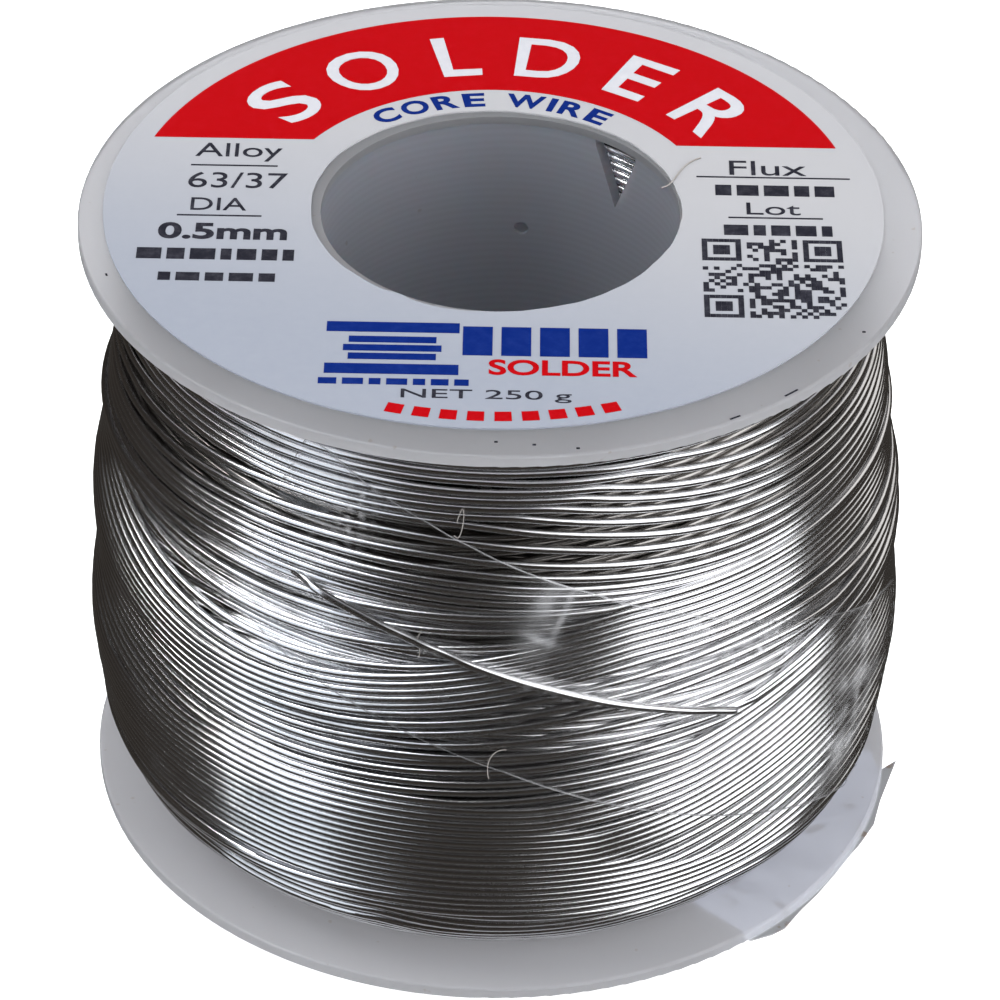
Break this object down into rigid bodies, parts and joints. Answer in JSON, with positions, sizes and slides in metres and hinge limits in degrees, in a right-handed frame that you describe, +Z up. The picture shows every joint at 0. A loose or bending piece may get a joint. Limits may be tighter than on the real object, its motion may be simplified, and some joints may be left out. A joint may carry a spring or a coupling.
{
  "type": "solder wire spool",
  "caption": "Thin plastic spool full of fine solder wire, with a ring label, a torn base sticker and its free wire end held down by clear tape.",
  "frame": {"origin": "on the bore's axis, in the plane of the lower flange's underside", "axes": "+Z up along the bore, towards the labelled flange; -Y is the front, where the wire's end is taped; +X is to the right of it"},
  "size_m": [0.0508, 0.05, 0.0402],
  "materials": {
    "spool_plastic": "translucent milky white",
    "solder": "bright drawn tin alloy",
    "flux": "amber rosin",
    "clear_tape": "clear glossy film, wrinkled",
    "label_paper": "matt, printed with plain bars",
    "sticker_paper": "matt, torn edge"
  },
  "bodies": {
    "root": {"lower_flange": "spool_plastic", "upper_flange": "spool_plastic", "barrel": "spool_plastic", "first_wire_layer": "solder", "inner_wire_layers": "solder", "outer_wire_layers": "solder", "wire_tail": "solder", "tail_flux_core": "flux", "holding_tape": "clear_tape", "top_label": "label_paper", "base_sticker": "sticker_paper"}
  },
  "joints": []
}
